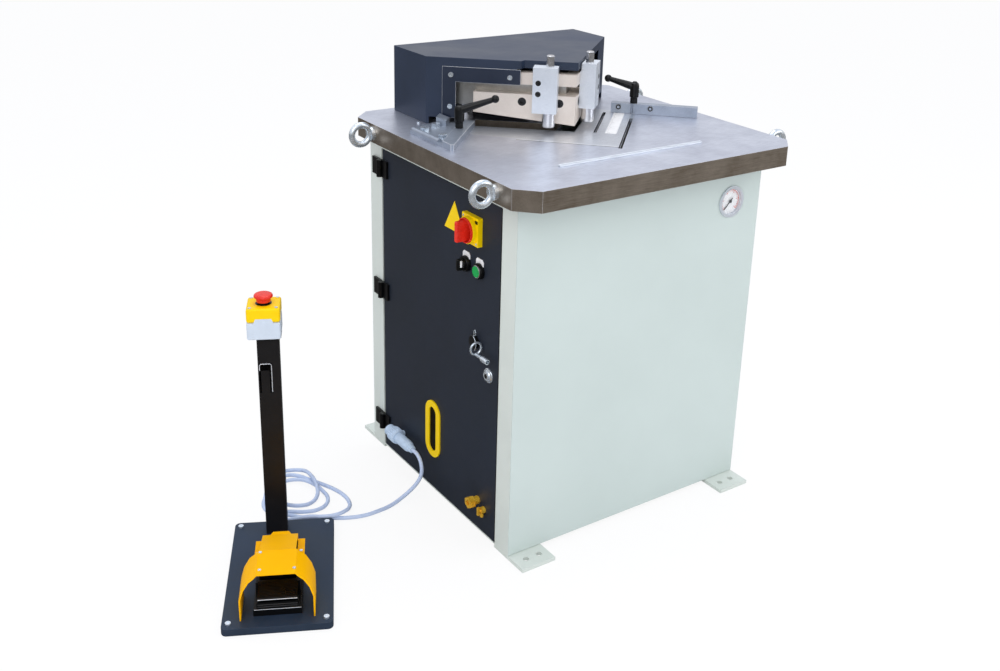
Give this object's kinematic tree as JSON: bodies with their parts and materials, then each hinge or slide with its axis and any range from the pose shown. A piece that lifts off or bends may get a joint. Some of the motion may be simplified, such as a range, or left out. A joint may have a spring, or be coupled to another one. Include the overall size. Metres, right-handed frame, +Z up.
{
  "type": "corner notching machine",
  "caption": "Hydraulic corner notcher: angled knives over a steel table on a sheet cabinet, with adjustable fences and a foot pedal and stop button on a corded stand.",
  "frame": {"origin": "on the floor under the middle of the cabinet", "axes": "+Z up, +X to the right along the front sheet, +Y from the front sheet to the back, door on the -X face"},
  "size_m": [1.4391, 0.78, 1.082],
  "materials": {
    "frame_paint": "satin",
    "panel_paint": "satin",
    "ground_steel": "satin",
    "zinc_steel": "satin",
    "head_paint": "satin",
    "head_trim": "satin",
    "hard_chrome": "polished",
    "machined_steel": "satin",
    "knife_steel": "satin",
    "black_oxide": "satin",
    "alloy": "satin",
    "spring_steel": "satin",
    "black_plastic": "matte",
    "cast_grey": "rough",
    "blue_paint": "satin",
    "door_paint": "satin",
    "yellow_paint": "satin",
    "red_plastic": "gloss",
    "green_plastic": "gloss",
    "grey_plastic": "matte",
    "brass": "satin",
    "glass": "clear",
    "base_paint": "satin",
    "black_paint": "satin",
    "yellow_plastic": "gloss",
    "cable_sheath": "satin"
  },
  "bodies": {
    "machine": {"cabinet_frame": "frame_paint", "body_panels": "panel_paint", "table_top": "ground_steel", "eyebolts": "zinc_steel", "head_cover": "head_paint", "cover_plate": "head_trim", "body_screws": "zinc_steel", "guide_columns": "hard_chrome", "lower_blades": "knife_steel", "die_block": "machined_steel", "deck_plates": "ground_steel", "rest_rod": "machined_steel", "left_fence": "black_oxide", "fence_base": "machined_steel", "fence_bolts": "zinc_steel", "cylinder_barrel": "cast_grey", "oil_tank": "blue_paint", "motor_case": "blue_paint", "oil_circuit": "machined_steel", "scrap_bin": "frame_paint", "frame_hinges": "black_plastic", "gauge_case": "hard_chrome", "gauge_glass": "glass", "stand_base": "base_paint", "stand_post": "black_paint", "stop_base": "grey_plastic", "stop_lid": "yellow_plastic", "pedal_housing": "black_plastic", "pedal_guard": "yellow_paint", "cable": "cable_sheath"},
    "head": {"ram": "machined_steel", "clamp_bars": "knife_steel", "upper_knives": "knife_steel", "head_screws": "black_oxide", "hold_down_blocks": "alloy", "piston_rod": "hard_chrome"},
    "left_foot": {"foot_left": "machined_steel", "spring_left": "spring_steel"},
    "right_foot": {"foot_right": "machined_steel", "spring_right": "spring_steel"},
    "left_clamp": {"left_lever": "black_plastic"},
    "sliding_fence": {"right_fence": "black_oxide"},
    "right_clamp": {"right_lever": "black_plastic"},
    "rotor": {"motor_shaft": "machined_steel"},
    "door_leaf": {"door": "door_paint", "door_hinges": "black_plastic", "yellow_plates": "yellow_paint", "button_bezels": "hard_chrome", "door_bosses": "black_plastic", "cabinet_key": "zinc_steel", "cable_connector": "grey_plastic", "brass_fittings": "brass"},
    "main_switch": {"switch_knob": "red_plastic"},
    "selector": {"selector_knob": "black_plastic"},
    "push_button": {"button_cap": "green_plastic"},
    "lock": {"lock_core": "zinc_steel"},
    "drain_wing": {"cock_wing": "brass"},
    "gauge_hand": {"gauge_pointer": "black_oxide"},
    "stop_mushroom": {"stop_button": "red_plastic"},
    "foot_pedal": {"pedal": "black_plastic"}
  },
  "joints": [
    {"name": "ram_stroke", "type": "slide", "parent": "machine", "child": "head", "axis": [0, 0, -1], "range_m": [0, 0.038]},
    {"name": "left_foot_lift", "type": "slide", "parent": "head", "child": "left_foot", "axis": [0, 0, 1], "range_m": [0, 0.026], "deforming": ["spring_left"]},
    {"name": "right_foot_lift", "type": "slide", "parent": "head", "child": "right_foot", "axis": [0, 0, 1], "range_m": [0, 0.026], "deforming": ["spring_right"]},
    {"name": "left_clamp_turn", "type": "hinge", "parent": "machine", "child": "left_clamp", "pos_m": [-0.26137, 0.05088, 0.92], "axis": [0, 0, 1], "range_deg": [-60, 35]},
    {"name": "fence_slide", "type": "slide", "parent": "machine", "child": "sliding_fence", "axis": [-0.7071, -0.7071, 0], "range_m": [0, 0.08]},
    {"name": "right_clamp_turn", "type": "hinge", "parent": "sliding_fence", "child": "right_clamp", "pos_m": [0.23602, 0.02029, 0.93], "axis": [0, 0, 1], "range_deg": [-75, 50]},
    {"name": "motor_spin", "type": "hinge", "parent": "machine", "child": "rotor", "pos_m": [0.12, 0.16, 0.3], "axis": [0, 0, 1], "continuous": true},
    {"name": "door_hinge", "type": "hinge", "parent": "machine", "child": "door_leaf", "pos_m": [-0.358, 0.262, 0], "axis": [0, 0, 1], "range_deg": [-40, 0], "deforming": ["cable"]},
    {"name": "switch_turn", "type": "hinge", "parent": "door_leaf", "child": "main_switch", "pos_m": [-0.365, -0.159, 0.75], "axis": [1, 0, 0], "range_deg": [0, 90]},
    {"name": "selector_turn", "type": "hinge", "parent": "door_leaf", "child": "selector", "pos_m": [-0.365, -0.13, 0.66], "axis": [1, 0, 0], "range_deg": [-45, 45]},
    {"name": "button_press", "type": "slide", "parent": "door_leaf", "child": "push_button", "axis": [1, 0, 0], "range_m": [0, 0.004], "stiffness_N_per_m": 500},
    {"name": "lock_turn", "type": "hinge", "parent": "door_leaf", "child": "lock", "pos_m": [-0.35, -0.227, 0.425], "axis": [1, 0, 0], "range_deg": [-90, 0]},
    {"name": "drain_turn", "type": "hinge", "parent": "door_leaf", "child": "drain_wing", "pos_m": [-0.362, -0.22, 0.076], "axis": [1, 0, 0], "range_deg": [0, 90]},
    {"name": "gauge_needle", "type": "hinge", "parent": "machine", "child": "gauge_hand", "pos_m": [0.257, -0.325, 0.76], "axis": [0, 1, 0], "range_deg": [0, 270]},
    {"name": "stop_press", "type": "slide", "parent": "machine", "child": "stop_mushroom", "axis": [0, 0, -1], "range_m": [0, 0.004]},
    {"name": "pedal_press", "type": "hinge", "parent": "machine", "child": "foot_pedal", "pos_m": [-0.85291, -0.20117, 0.063], "axis": [0.8988, -0.4384, 0], "range_deg": [0, 5], "stiffness_Nm_per_rad": 8, "springref_deg": -2.86}
  ],
  "couplings": [
    {"joint": "left_foot_lift", "follows": "ram_stroke", "ratio": 0.684},
    {"joint": "right_foot_lift", "follows": "ram_stroke", "ratio": 0.684}
  ]
}
